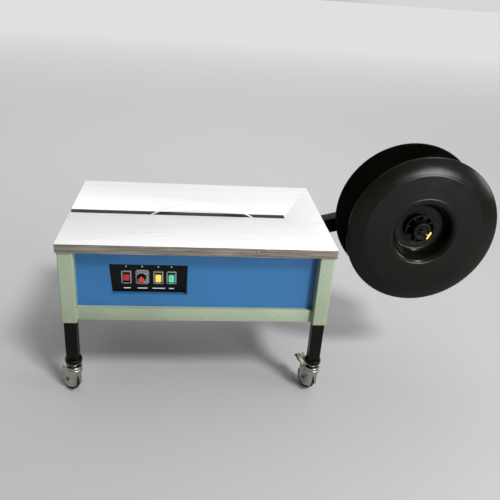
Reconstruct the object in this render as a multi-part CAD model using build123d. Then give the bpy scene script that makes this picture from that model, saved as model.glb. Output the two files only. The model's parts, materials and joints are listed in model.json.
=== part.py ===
from build123d import *
import os
from math import atan2, cos, degrees, radians, sin, sqrt, tan

# Semi automatic strapping machine, low table, with a strap reel on a side arm.
# Millimetres, +Z up, front faces -Y. The model is laid out about the centre of the
# tabletop on the floor and moved at the end to the bottom centre of its own box.

# ---- driving dimensions -------------------------------------------------------------
TABLE_W, TABLE_D, TABLE_H = 880.0, 590.0, 573.0
SHEET_T, SKIRT_H, TOP_CORNER_R = 1.5, 30.0, 5.0
BOARD_T = 18.0
OVERHANG = 5.0                      # tabletop edge beyond the leg posts
POST, POST_T = 48.0, 3.5
BODY_H = 283.0                      # work surface down to the foot of the posts
RAIL_H, RAIL_RECESS, RAIL_T = 46.0, 20.0, 2.5
TOP_RAIL_H = 40.0
PANEL_T, PANEL_RECESS = 2.0, 35.0
TRAY_T, TRAY_LIFT = 2.0, 3.0

SLOT_W, SLOT_Y, SLOT_END_X = 31.0, -23.0, 302.0
SCREW_X = 181.0                     # skirt screw, one front and one rear
TRACK_T = 3.0

OPEN_X0, OPEN_X1, OPEN_TOP, OPEN_BOTTOM = -283.5, -35.5, 84.5, 192.0   # down from top
RECESS_DEPTH, RECESS_TAPER, PLATE_T = 16.0, 6.0, 3.0
CONTROL_DROP = 131.5                # work surface down to the row of controls
POWER_X, DIAL_X, RESET_X, FEED_X = -230.5, -180.0, -129.0, -87.0
BEZEL_W, BEZEL_H, BEZEL_T = 32.0, 50.0, 5.0
KEY_W, KEY_H = 18.4, 23.0
KEY_SINK = 2.5                      # push buttons below their bezel's middle
KEYS = ((POWER_X, 0.0), (RESET_X, KEY_SINK), (FEED_X, KEY_SINK))
DIAL_W, DIAL_H, DIAL_T = 43.0, 57.0, 2.0
KNOB_R, KNOB_H, KNOB_DX, KNOB_DY = 12.0, 13.0, -2.5, -1.0
KEY_TRAVEL, ROCKER_TILT = 3.0, 8.0

LEG, LEG_T, LEG_UP = 40.0, 3.0, 110.0
CASTER_H = 123.0                    # floor to the underside of the leg collar
COLLAR_R, COLLAR_H = 28.0, 16.0
BOLT_R, BOLT_HEAD_R, BOLT_HEAD_H = 5.0, 8.5, 4.0

WHEEL_R, WHEEL_W, AXLE_PIN_R, TRAIL = 40.0, 26.0, 4.0, 26.0
HOOD_GAP, HOOD_ROUND, HOOD_FOOT = 1.5, 6.0, 34.0    # apron ahead of the wheel, corner, lower edge
SPLIT = 14.0                        # half width at the floor of the split up the apron
NUT_R, NUT_H, WASHER_R, WASHER_H = 13.0, 5.5, 19.0, 3.0
CHEEK_T, CHEEK_R, CROWN_T, RACE_R, RACE_H = 2.5, 25.0, 3.0, 27.0, 10.0
STEM_R, STEM_UP = 6.0, 34.0
PEDAL_L, PEDAL_W, PEDAL_T, PEDAL_UP = 50.0, 38.0, 2.5, 20.0
CASTER_YAW = {"front_left": 138.0, "front_right": 157.0, "rear_left": 141.0, "rear_right": 150.0}
BRAKED = ("front_right", "rear_left")

REEL_X, REEL_DZ, REEL_R = 766.0, 10.0, 265.0
RIM_FRONT_Y, RIM_GAP = -152.0, 184.0
BEVEL, FACE_R, LIP, FLANGE_T = 14.0, 209.0, 8.0, 3.0
CUP_R, CUP_FLOOR_R, CUP_DEPTH, CUP_ROUND, CUP_FOOT_ROUND = 103.0, 88.0, 58.0, 15.0, 12.0
CORE_T, SLEEVE_T, SPINDLE_R = 4.0, 6.0, 12.0
HUB_R, HUB_BOSS_R, HUB_RIM_T, HUB_RIM_H, HUB_SPOKES = 52.0, 34.0, 5.0, 18.0, 8
ARM_H, ARM_D, ARM_T, ARM_TILT = 54.0, 54.0, 3.0, 15.0
ARM_FRONT_Y, ARM_PLATE_T = 55.0, 8.0

STRAP_W, STRAP_T, STRAP_RISE, STRAP_HALF, STRAP_X = 12.0, 1.0, 41.0, 166.0, 12.0

HEAD_X, CAM_R, CAM_SHAFT_R, CAM_DROP = 130.0, 32.0, 10.0, 190.0
HEAD_X0, HEAD_X1, HEAD_GAP, HEAD_T = 20.0, 250.0, 84.0, 8.0
MOTOR_X, MOTOR_R, MOTOR_L = -110.0, 55.0, 150.0
PULLEY_W, MOTOR_PULLEY_R, GEAR_PULLEY_R, BELT_T = 16.0, 22.0, 45.0, 5.0

# ---- clearances ---------------------------------------------------------------------
FIT = 0.08                          # turning shaft in its hole
GAP = 0.3                           # faces that pass each other
LEG_GAP = (POST - 2 * POST_T - LEG) / 2
SEAT = 0.5                          # plate edge in its frame

# ---- derived levels -----------------------------------------------------------------
POST_Z0 = TABLE_H - BODY_H
FRAME_TOP = TABLE_H - SHEET_T - BOARD_T
RAIL_TOP = POST_Z0 + RAIL_H
RAIL_D = POST - RAIL_RECESS
TOP_RAIL_D = POST - PANEL_RECESS - PANEL_T
POST_X, POST_Y = TABLE_W / 2 - OVERHANG, TABLE_D / 2 - OVERHANG        # outer faces
TRAY_Z = POST_Z0 + TRAY_LIFT + TRAY_T
FLOOR_Z = TABLE_H - SHEET_T - (BOARD_T - TRACK_T)                      # track floor
REEL_Z = TABLE_H + REEL_DZ
FACE_FRONT_Y, FACE_REAR_Y = RIM_FRONT_Y - BEVEL, RIM_FRONT_Y + RIM_GAP + BEVEL
CORNERS = {"front_left": (-1, -1), "front_right": (1, -1), "rear_left": (-1, 1), "rear_right": (1, 1)}

nodes = {}


def block(x0, x1, y0, y1, z0, z1):
    return Pos((x0 + x1) / 2, (y0 + y1) / 2, (z0 + z1) / 2) * Box(x1 - x0, y1 - y0, z1 - z0)


def rod_x(x0, x1, y, z, r):
    return Pos((x0 + x1) / 2, y, z) * Rot(0, 90, 0) * Cylinder(r, x1 - x0)


def rod_y(x, y0, y1, z, r):
    return Pos(x, (y0 + y1) / 2, z) * Rot(90, 0, 0) * Cylinder(r, y1 - y0)


def rod_z(x, y, z0, z1, r):
    return Pos(x, y, (z0 + z1) / 2) * Cylinder(r, z1 - z0)


def plate_xz(sketch, y0, y1):
    """Sketch drawn as x, z raised into a plate between two y values."""
    return Pos(0, y1, 0) * Rot(90, 0, 0) * extrude(sketch, y1 - y0)


def keep(name, *shapes):
    nodes[name] = [s for shape in shapes for s in shape.solids()]


# ---- frame --------------------------------------------------------------------------
for corner, (sx, sy) in CORNERS.items():
    cx, cy = sx * (POST_X - POST / 2), sy * (POST_Y - POST / 2)
    post = Pos(cx, cy, POST_Z0) * extrude(
        RectangleRounded(POST, POST, 4) - RectangleRounded(POST - 2 * POST_T, POST - 2 * POST_T, 1),
        FRAME_TOP - POST_Z0)
    bolt_z = POST_Z0 + LEG_UP / 2
    hole = rod_x(min(0, sx * POST) + cx, max(0, sx * POST) + cx, cy, bolt_z, BOLT_R + FIT)
    keep("post_" + corner, post - hole)
    tube = Pos(cx, cy, CASTER_H + COLLAR_H) * extrude(
        RectangleRounded(LEG, LEG, 4) - RectangleRounded(LEG - 2 * LEG_T, LEG - 2 * LEG_T, 2),
        POST_Z0 + LEG_UP - CASTER_H - COLLAR_H)
    plug_w = LEG - 2 * LEG_T - 0.4
    collar = rod_z(cx, cy, CASTER_H, CASTER_H + COLLAR_H, COLLAR_R)
    collar = fillet(collar.edges().filter_by(GeomType.CIRCLE), 4)
    plug = Pos(cx, cy, CASTER_H + COLLAR_H) * extrude(RectangleRounded(plug_w, plug_w, 2), 30)
    bore = rod_z(cx, cy, CASTER_H - 1, CASTER_H + STEM_UP + 2, STEM_R + FIT)
    keep("leg_" + corner, tube - hole, collar + plug - bore)


def rails(z0, z1, recess, depth, wall):
    """Four box rails between the posts, set back from the post faces."""
    made = []
    ex, ey = POST_X - POST, POST_Y - POST
    for s in (-1, 1):
        ya, yb = sorted((s * (POST_Y - recess), s * (POST_Y - recess - depth)))
        made.append(block(-ex, ex, ya, yb, z0, z1)
                    - block(-ex - 1, ex + 1, ya + wall, yb - wall, z0 + wall, z1 - wall))
        xa, xb = sorted((s * (POST_X - recess), s * (POST_X - recess - depth)))
        made.append(block(xa, xb, -ey, ey, z0, z1)
                    - block(xa + wall, xb - wall, -ey - 1, ey + 1, z0 + wall, z1 - wall))
    return made


keep("lower_rails", *rails(POST_Z0, RAIL_TOP, RAIL_RECESS, RAIL_D, RAIL_T))
top_rails = rails(FRAME_TOP - TOP_RAIL_H, FRAME_TOP, PANEL_RECESS + PANEL_T, TOP_RAIL_D, 2.0)

tray_x, tray_y = POST_X - POST, POST_Y - POST
keep("bottom_tray", block(-tray_x, tray_x, -tray_y, tray_y, TRAY_Z - TRAY_T, TRAY_Z))

# ---- tabletop -----------------------------------------------------------------------
top = Pos(0, 0, TABLE_H - SKIRT_H) * extrude(RectangleRounded(TABLE_W, TABLE_D, TOP_CORNER_R), SKIRT_H)
top = fillet(top.faces().sort_by(Axis.Z)[-1].edges(), 1.2)
top -= block(-TABLE_W / 2 + SHEET_T, TABLE_W / 2 - SHEET_T, -TABLE_D / 2 + SHEET_T,
             TABLE_D / 2 - SHEET_T, TABLE_H - SKIRT_H - 1, TABLE_H - SHEET_T)
slot_y0, slot_y1 = SLOT_Y - SLOT_W / 2, SLOT_Y + SLOT_W / 2
top -= block(-TABLE_W / 2 - 1, SLOT_END_X, slot_y0, slot_y1, FLOOR_Z, TABLE_H + 1)

board_x, board_y = TABLE_W / 2 - SHEET_T, TABLE_D / 2 - SHEET_T
board = block(-board_x, board_x, -board_y, board_y, FRAME_TOP, FRAME_TOP + BOARD_T)
track_x1 = SLOT_END_X + TRACK_T
board -= block(-board_x - 1, track_x1, slot_y0 - TRACK_T, slot_y1 + TRACK_T, FRAME_TOP - 1, TABLE_H)

window_x0, window_x1 = HEAD_X - 50, HEAD_X + 30
SLIDE_L, SLIDE_TRAVEL = 60.0, 18.0
track = block(-board_x, track_x1, slot_y0 - TRACK_T, slot_y1 + TRACK_T, FRAME_TOP, FRAME_TOP + BOARD_T)
track -= block(-board_x - 1, SLOT_END_X, slot_y0, slot_y1, FLOOR_Z, TABLE_H)
track -= block(window_x0, window_x1, slot_y0 + 2, slot_y1 - 2, FRAME_TOP - 1, TABLE_H)
keep("slot_track", track)
keep("slide_plate", block(window_x1 - GAP - SLIDE_L, window_x1 - GAP, slot_y0 + 2 + GAP, slot_y1 - 2 - GAP,
                          FRAME_TOP, FLOOR_Z))

screws = []
for s in (-1, 1):
    x, z = -s * SCREW_X, FRAME_TOP + BOARD_T / 2
    y_face, y_in = s * TABLE_D / 2, s * (TABLE_D / 2 - 16)
    shank = rod_y(x, min(y_face, y_in), max(y_face, y_in), z, 2.0)
    head = rod_y(x, min(y_face, y_face + s * 1.6), max(y_face, y_face + s * 1.6), z, 4.0)
    screws.append(shank + head)
    top -= rod_y(x, min(0, y_face + s), max(0, y_face + s), z, 2.0 + FIT)
    board -= rod_y(x, min(y_in - s, y_face), max(y_in - s, y_face), z, 2.0 + FIT)
keep("table_top", top)
keep("table_board", board)

# ---- side panels --------------------------------------------------------------------
PANEL_Y, PANEL_X = POST_Y - PANEL_RECESS, POST_X - PANEL_RECESS        # outer faces
ex, ey = POST_X - POST, POST_Y - POST


def louvres(sheet, x0, x1, z0, rows, y0, y1):
    for i in range(rows):
        sheet -= block(x0, x1, y0 - 1, y1 + 1, z0 + 12 * i, z0 + 12 * i + 4)
    return sheet


INLET_X, INLET_Z = -250.0, RAIL_TOP + 45
rear = block(-ex, ex, PANEL_Y - PANEL_T, PANEL_Y, RAIL_TOP, FRAME_TOP)
rear -= block(INLET_X - 14, INLET_X + 14, PANEL_Y - 5, PANEL_Y + 5, INLET_Z - 10, INLET_Z + 10)
keep("rear_panel", louvres(rear, 60, 260, RAIL_TOP + 60, 6, PANEL_Y - PANEL_T, PANEL_Y))
inlet = block(INLET_X - 20, INLET_X + 20, PANEL_Y, PANEL_Y + 3, INLET_Z - 16, INLET_Z + 16)
inlet += block(INLET_X - 13.8, INLET_X + 13.8, PANEL_Y - 24, PANEL_Y, INLET_Z - 9.8, INLET_Z + 9.8)
inlet -= block(INLET_X - 11, INLET_X + 11, PANEL_Y - 15, PANEL_Y + 4, INLET_Z - 7, INLET_Z + 7)
for dx in (-6, 0, 6):
    inlet += block(INLET_X + dx - 1, INLET_X + dx + 1, PANEL_Y - 16, PANEL_Y - 3, INLET_Z - 2, INLET_Z + 2)
keep("power_inlet", inlet)

keep("left_panel", block(-PANEL_X, -PANEL_X + PANEL_T, -ey, ey, RAIL_TOP, FRAME_TOP))
STRAP_IN_Y, STRAP_IN_Z = SLOT_Y, RAIL_TOP + 110
right = block(PANEL_X - PANEL_T, PANEL_X, -ey, ey, RAIL_TOP, FRAME_TOP)
mouth = block(PANEL_X - 6, PANEL_X + 8, STRAP_IN_Y - 20, STRAP_IN_Y + 20, STRAP_IN_Z - 12, STRAP_IN_Z + 12)
mouth = fillet(mouth.edges().filter_by(Axis.X), 5)
mouth_hole = block(PANEL_X - 9, PANEL_X + 9, STRAP_IN_Y - 12, STRAP_IN_Y + 12, STRAP_IN_Z - 4, STRAP_IN_Z + 4)
right = right + mouth - mouth_hole

# ---- control recess and plate -------------------------------------------------------
open_zt, open_zb, open_y = TABLE_H - OPEN_TOP, TABLE_H - OPEN_BOTTOM, -PANEL_Y
open_h = open_zt - open_zb
slope = sqrt(open_h ** 2 + RECESS_DEPTH ** 2)
back_n = Vector(0, open_h / slope, RECESS_DEPTH / slope)       # square to the plate, rearwards
open_xc, open_w = (OPEN_X0 + OPEN_X1) / 2, OPEN_X1 - OPEN_X0
plate_top = Plane(origin=(open_xc, open_y, open_zt), x_dir=(1, 0, 0), z_dir=tuple(-back_n))


def on_plate(x, drop, height=0.0):
    """Place at x and so far down from the work surface, height above the plate face."""
    return plate_top * Pos(x - open_xc, -(drop - OPEN_TOP) * slope / open_h, height)


A, B = (OPEN_X0, open_y, open_zt), (OPEN_X1, open_y, open_zt)
D, C = (OPEN_X0, open_y, open_zb), (OPEN_X1, open_y, open_zb)
F = (OPEN_X0 + RECESS_TAPER, open_y + RECESS_DEPTH, open_zb)
E = (OPEN_X1 - RECESS_TAPER, open_y + RECESS_DEPTH, open_zb)


def flat(*points):
    return make_face(Polyline(*points, close=True))


front = block(-ex, ex, -PANEL_Y, -PANEL_Y + PANEL_T, RAIL_TOP, FRAME_TOP)
front -= block(OPEN_X0, OPEN_X1, -PANEL_Y - 1, -PANEL_Y + PANEL_T + 1, open_zb, open_zt)
front += extrude(flat(A, D, F), PANEL_T, dir=(-1, 0, 0))
front += extrude(flat(B, C, E), PANEL_T, dir=(1, 0, 0))
ledge = [(x + side * PANEL_T, y, z) for side, (x, y, z) in ((-1, D), (1, C), (1, E), (-1, F))]
front += extrude(flat(*ledge), PANEL_T, dir=(0, 0, -1))
keep("front_panel", front)

plate = plate_top * extrude(make_face(Polyline(
    (-open_w / 2 + SEAT, -SEAT), (open_w / 2 - SEAT, -SEAT),
    (open_w / 2 - RECESS_TAPER - SEAT, -slope + SEAT), (-open_w / 2 + RECESS_TAPER + SEAT, -slope + SEAT),
    close=True)), -PLATE_T)
hole_w, hole_h = KEY_W + 2 * GAP, KEY_H + 3.0
for x, sink in KEYS:
    plate -= on_plate(x, CONTROL_DROP + sink) * Box(hole_w, hole_h, 20)
knob_at = on_plate(DIAL_X + KNOB_DX, CONTROL_DROP - KNOB_DY)
plate -= knob_at * Cylinder(3.0 + FIT, 20)
keep("control_plate", plate)

bezel = extrude(RectangleRounded(BEZEL_W, BEZEL_H, 4), BEZEL_T)
bezel = chamfer(bezel.faces().sort_by(Axis.Z)[-1].edges(), 1.5)
keep("switch_bezels", *[on_plate(x, CONTROL_DROP) * (bezel - Pos(0, -sink, 0) * Box(hole_w, hole_h, 30))
                        for x, sink in KEYS])

button = Pos(0, 0, -6) * extrude(RectangleRounded(KEY_W, KEY_H + 2.4, 2), BEZEL_T + 3.5 + 6)
button = fillet(button.faces().sort_by(Axis.Z)[-1].edges(), 1.2)
keep("reset_button", on_plate(RESET_X, CONTROL_DROP + KEY_SINK) * button)
keep("feed_button", on_plate(FEED_X, CONTROL_DROP + KEY_SINK) * button)

rocker = Rot(0, 90, 0) * Cylinder(KEY_H / 2, KEY_W)
rocker = rocker & Pos(0, 0, 1.5) * Box(KEY_W, KEY_H, 10)
rocker = fillet(rocker.faces().sort_by(Axis.Z)[-1].edges(), 0.8)
keep("power_rocker", on_plate(POWER_X, CONTROL_DROP, 2.5) * Rot(-ROCKER_TILT, 0, 0) * rocker)

dial = extrude(RectangleRounded(DIAL_W, DIAL_H, 9), DIAL_T)
dial -= Pos(KNOB_DX, KNOB_DY, 0) * Cylinder(3.0 + FIT, 20)
keep("dial_plate", on_plate(DIAL_X, CONTROL_DROP) * dial)
knob = Pos(0, 0, DIAL_T + GAP) * extrude(Circle(KNOB_R), KNOB_H)
for i in range(18):
    knob -= Rot(0, 0, 20 * i) * Pos(KNOB_R + 0.6, 0, DIAL_T + KNOB_H / 2) * Cylinder(1.1, KNOB_H - 2)
knob += Pos(0, 0, -PLATE_T - 8) * extrude(Circle(3.0), PLATE_T + 8 + DIAL_T + 1)
keep("length_knob", knob_at * knob)
cap = Pos(0, 0, DIAL_T + GAP + KNOB_H) * extrude(Circle(KNOB_R - 2.5), 2.5)
keep("knob_cap", knob_at * fillet(cap.faces().sort_by(Axis.Z)[-1].edges(), 1.2))

# ---- casters ------------------------------------------------------------------------
RACE_TOP = CASTER_H - 2 * NUT_H - WASHER_H
CROWN_Z = RACE_TOP - RACE_H - GAP - RACE_H - CROWN_T
half_in = WHEEL_W / 2 + 2.0
half_out, apron_y = half_in + CHEEK_T, WHEEL_R - TRAIL + HOOD_GAP + CHEEK_T
stems = []
for corner, (sx, sy) in CORNERS.items():
    at = Pos(sx * (POST_X - POST / 2), sy * (POST_Y - POST / 2), 0)
    yaw = Rot(0, 0, -CASTER_YAW[corner])
    race = rod_z(0, 0, RACE_TOP - RACE_H, RACE_TOP, RACE_R)
    race = fillet(race.edges().filter_by(GeomType.CIRCLE), 2)
    stem = race + rod_z(0, 0, CROWN_Z - GAP - 4, CASTER_H + STEM_UP, STEM_R)
    stem += rod_z(0, 0, CASTER_H - NUT_H - WASHER_H, CASTER_H - NUT_H, WASHER_R)
    for z in (RACE_TOP, CASTER_H - NUT_H):
        stem += Pos(0, 0, z) * extrude(RegularPolygon(NUT_R, 6), NUT_H)
    stem += rod_z(0, 0, CROWN_Z - GAP - 4, CROWN_Z - GAP, 10)
    stems.append(at * stem)

    crown = rod_z(0, 0, CROWN_Z, RACE_TOP - RACE_H - GAP, RACE_R)
    crown = fillet(crown.faces().sort_by(Axis.Z)[-1].edges(), 3)
    back_y = -TRAIL - 20.0
    side = make_face(Polyline((apron_y, CROWN_Z + CROWN_T), (back_y, CROWN_Z + CROWN_T),
                              (back_y, CROWN_Z - 12), (-TRAIL - CHEEK_R + 0.5, WHEEL_R + 4), (-TRAIL, WHEEL_R),
                              (-TRAIL + 10, WHEEL_R - CHEEK_R + 2), (apron_y, HOOD_FOOT), close=True))
    side += Pos(-TRAIL, WHEEL_R) * Circle(CHEEK_R)
    side -= Pos(-TRAIL, WHEEL_R) * Circle(AXLE_PIN_R + 0.05)
    pivot_y, pivot_z = -TRAIL - 13.0, CROWN_Z - 2.0
    side -= Pos(pivot_y, pivot_z) * Circle(2.0 + FIT)
    outline = Rot(0, 0, 90) * Rot(90, 0, 0) * Pos(0, 0, -30) * extrude(side, 60)     # y, z, x to x, y, z
    long = apron_y - back_y + 20
    shell = RectangleRounded(2 * half_out, 2 * long, HOOD_ROUND) - RectangleRounded(
        2 * half_in, 2 * (long - CHEEK_T), HOOD_ROUND - CHEEK_T)
    shell = Pos(0, apron_y - long, 0) * extrude(shell, CROWN_Z + CROWN_T)
    lid = extrude(RectangleRounded(2 * half_out, 2 * long, HOOD_ROUND), CROWN_T)
    lid = Pos(0, apron_y - long, CROWN_Z) * lid
    shell += lid & block(-half_out, half_out, -TRAIL - 4, apron_y, CROWN_Z, CROWN_Z + CROWN_T)
    split_top = CROWN_Z - 14
    opening = make_face(Polyline((-SPLIT, 0), (-1.5, split_top), (1.5, split_top), (SPLIT, 0), close=True))
    shell -= plate_xz(opening, apron_y - CHEEK_T - 1, apron_y + 1)
    crown += shell & outline
    crown -= rod_z(0, 0, CROWN_Z - 2, CASTER_H, STEM_R + FIT)
    pin = rod_x(-half_out - 2, half_out + 2, -TRAIL, WHEEL_R, AXLE_PIN_R)
    for s in (-1, 1):
        x = s * half_out
        bolt_head = extrude(RegularPolygon(7.5, 6), 4.5)
        pin += Pos(x if s > 0 else x - 4.5, -TRAIL, WHEEL_R) * Rot(0, 90, 0) * bolt_head
    keep("fork_" + corner, at * yaw * crown, at * yaw * pin)

    wheel = rod_x(-WHEEL_W / 2, WHEEL_W / 2, 0, 0, WHEEL_R)
    wheel = fillet(wheel.edges().filter_by(GeomType.CIRCLE), 4)
    for s in (-1, 1):
        wheel -= rod_x(min(s * 9, s * 14), max(s * 9, s * 14), 0, 0, 26) - rod_x(-14, 14, 0, 0, 11)
    wheel -= rod_x(-20, 20, 0, 0, AXLE_PIN_R + FIT)
    keep("wheel_" + corner, at * yaw * Pos(0, -TRAIL, WHEEL_R) * wheel)

    if corner in BRAKED:
        w, far = half_in - GAP, -PEDAL_L
        pedal = rod_x(-w, w, 0, 0, 4.0) + block(-w, w, -20, 0, 1.5, 1.5 + PEDAL_T)
        tread = make_face(Polyline((-w, -9), (w, -9), (PEDAL_W / 2, -22), (PEDAL_W / 2, far),
                                   (-PEDAL_W / 2, far), (-PEDAL_W / 2, -22), close=True))
        pedal += Pos(0, 0, 1.5) * extrude(tread, PEDAL_T)
        pedal += block(-PEDAL_W / 2, PEDAL_W / 2, far, far + PEDAL_T, -2.5, 1.5 + PEDAL_T)
        pedal += rod_x(-half_out, half_out, 0, 0, 2.0)
        keep("brake_pedal_" + corner, at * yaw * Pos(0, pivot_y, pivot_z) * Rot(-PEDAL_UP, 0, 0) * pedal)
keep("caster_stems", *stems)

# ---- reel ---------------------------------------------------------------------------
spin = Pos(REEL_X, 0, REEL_Z)


def flange_shape():
    """Dished flange about local Z, face at z = 0 and the reel inside at +z."""
    bore = SPINDLE_R + FIT
    line = Polyline((bore, CUP_DEPTH), (CUP_FLOOR_R, CUP_DEPTH), (CUP_R, 0), (FACE_R, 0), (REEL_R, BEVEL),
                    (REEL_R, BEVEL + LIP), (REEL_R - FLANGE_T, BEVEL + LIP), (REEL_R - FLANGE_T, BEVEL + 2),
                    (FACE_R, FLANGE_T), (CUP_R + FLANGE_T, FLANGE_T),
                    (CUP_FLOOR_R + FLANGE_T, CUP_DEPTH + FLANGE_T), (bore, CUP_DEPTH + FLANGE_T), close=True)
    area = make_face(line)
    for r, z, round_r in ((CUP_R, 0, CUP_ROUND), (CUP_R + FLANGE_T, FLANGE_T, CUP_ROUND - FLANGE_T),
                          (CUP_FLOOR_R, CUP_DEPTH, CUP_FOOT_ROUND),
                          (CUP_FLOOR_R + FLANGE_T, CUP_DEPTH + FLANGE_T, CUP_FOOT_ROUND + FLANGE_T)):
        corner = min(area.vertices(), key=lambda v: (v.X - r) ** 2 + (v.Y - z) ** 2)
        area = fillet([corner], round_r)
    return revolve(Rot(90, 0, 0) * area, Axis.Z, 360)


flange = flange_shape()
keep("front_flange", spin * Pos(0, FACE_FRONT_Y, 0) * Rot(-90, 0, 0) * flange)
keep("rear_flange", spin * Pos(0, FACE_REAR_Y, 0) * Rot(90, 0, 0) * flange)

core_r = CUP_R + FLANGE_T + GAP
y0, y1 = FACE_FRONT_Y + CUP_ROUND + 0.1, FACE_REAR_Y - CUP_ROUND - 0.1
core = rod_y(0, y0, y1, 0, core_r + CORE_T) - rod_y(0, y0 - 1, y1 + 1, 0, core_r)
fy0, fy1 = FACE_FRONT_Y + CUP_DEPTH + FLANGE_T, FACE_REAR_Y - CUP_DEPTH - FLANGE_T
sleeve = rod_y(0, fy0, fy1, 0, SPINDLE_R + SLEEVE_T) - rod_y(0, fy0 - 1, fy1 + 1, 0, SPINDLE_R + FIT)
keep("reel_core", spin * core, spin * sleeve)

hub_back = FACE_FRONT_Y + CUP_DEPTH
hub = rod_y(0, hub_back - 44, hub_back, 0, HUB_BOSS_R)
hub = fillet(hub.faces().sort_by(Axis.Y)[0].edges(), 4)
hub += (rod_y(0, hub_back - HUB_RIM_H, hub_back, 0, HUB_R)
        - rod_y(0, hub_back - 99, hub_back + 1, 0, HUB_R - HUB_RIM_T))
for i in range(HUB_SPOKES):
    arm = block(HUB_BOSS_R - 3, HUB_R - 2, hub_back - HUB_RIM_H + 3, hub_back, -4, 4)
    hub += Rot(0, 360 / HUB_SPOKES * i + 12, 0) * arm
hub -= rod_y(0, hub_back - 50, hub_back + 1, 0, SPINDLE_R + FIT)
keep("hub_wheel", spin * hub)

tip_y = hub_back - 44 - 10
spindle = rod_y(0, tip_y, ARM_FRONT_Y, 0, SPINDLE_R)
spindle = chamfer(spindle.faces().sort_by(Axis.Y)[0].edges(), 1.5)
stop_y = FACE_REAR_Y - CUP_DEPTH + GAP
spindle += rod_y(0, stop_y, stop_y + 8, 0, 28)
PIN_TILT, PIN_R = 24.0, 2.0
clip_y = tip_y + 5
spindle -= Pos(0, clip_y, 0) * Rot(0, PIN_TILT, 0) * Rot(0, 90, 0) * Cylinder(PIN_R + FIT, 60)
keep("reel_spindle", spin * spindle)
pin = Rot(0, 90, 0) * Cylinder(PIN_R, 2 * SPINDLE_R + 10)
pin = Pos(4, 0, 0) * pin
grip = Pos(SPINDLE_R + 9 + 3, 0, 0) * Box(6, 5, 28)
grip = fillet(grip.edges().filter_by(Axis.Y), 2.5)
keep("retaining_pin", spin * Pos(0, clip_y, 0) * Rot(0, PIN_TILT, 0) * pin)
keep("pin_grip", spin * Pos(0, clip_y, 0) * Rot(0, PIN_TILT, 0) * grip)

# ---- reel arm -----------------------------------------------------------------------
arm_yc = ARM_FRONT_Y + ARM_D / 2
arm_run = (REEL_X - PANEL_X) / cos(radians(ARM_TILT)) + 60
tube = Box(arm_run, ARM_D, ARM_H) - Box(arm_run + 2, ARM_D - 2 * ARM_T, ARM_H - 2 * ARM_T)
tube = Pos(REEL_X, arm_yc, REEL_Z) * Rot(0, -ARM_TILT, 0) * Pos(34 - arm_run / 2, 0, 0) * tube
tube -= block(0, PANEL_X + ARM_PLATE_T, -300, 300, 0, 900)
arm_z = REEL_Z - tan(radians(ARM_TILT)) * (REEL_X - PANEL_X - ARM_PLATE_T)
foot = block(PANEL_X, PANEL_X + ARM_PLATE_T, arm_yc - 65, arm_yc + 65, arm_z - 52, FRAME_TOP - 14)
foot = fillet(foot.edges().filter_by(Axis.X), 6)
cap_end = Pos(34 - ARM_T / 2, 0, 0) * Box(ARM_T, ARM_D - 2 * ARM_T, ARM_H - 2 * ARM_T)
cap_end = Pos(REEL_X, arm_yc, REEL_Z) * Rot(0, -ARM_TILT, 0) * cap_end
arm_bolts = []
for dy in (-50, 50):
    for z in (FRAME_TOP - 26, arm_z - 38):
        y, x_end = arm_yc + dy, PANEL_X - 22
        drill = rod_x(x_end - 1, PANEL_X + 40, y, z, BOLT_R + FIT)
        foot -= drill
        right -= drill
        top_rails = [r - drill for r in top_rails]
        bolt = rod_x(x_end, PANEL_X + ARM_PLATE_T + 1, y, z, BOLT_R)
        bolt += rod_x(PANEL_X + ARM_PLATE_T, PANEL_X + ARM_PLATE_T + BOLT_HEAD_H, y, z, BOLT_HEAD_R)
        arm_bolts.append(bolt)
keep("reel_arm", tube + foot + cap_end)
keep("right_panel", right)
keep("upper_rails", *top_rails)

leg_bolts = []
for corner, (sx, sy) in CORNERS.items():
    y = sy * (POST_Y - POST / 2)
    xa, xb, xc = sx * POST_X, sx * (POST_X - POST_T - LEG_GAP - LEG_T - 6), sx * (POST_X + BOLT_HEAD_H)
    bolt = rod_x(min(xa, xb), max(xa, xb), y, POST_Z0 + LEG_UP / 2, BOLT_R)
    head = rod_x(min(xa, xc), max(xa, xc), y, POST_Z0 + LEG_UP / 2, BOLT_HEAD_R)
    leg_bolts.append(bolt + fillet(head.faces().sort_by(Axis.X)[-1 if sx > 0 else 0].edges(), 2.5))
keep("fasteners", *screws, *leg_bolts, *arm_bolts)

# ---- strap standing out of the slot -------------------------------------------------
bend_r = (STRAP_HALF ** 2 + STRAP_RISE ** 2) / (2 * STRAP_RISE)
bend_z = TABLE_H + STRAP_RISE - bend_r
band = rod_y(STRAP_X, SLOT_Y - STRAP_W / 2, SLOT_Y + STRAP_W / 2, bend_z, bend_r)
band -= rod_y(STRAP_X, SLOT_Y - STRAP_W, SLOT_Y + STRAP_W, bend_z, bend_r - STRAP_T)
band &= block(STRAP_X - 400, STRAP_X + 400, -300, 300, FLOOR_Z + 0.1, TABLE_H + 200)
keep("strap_loop", band)

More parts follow.
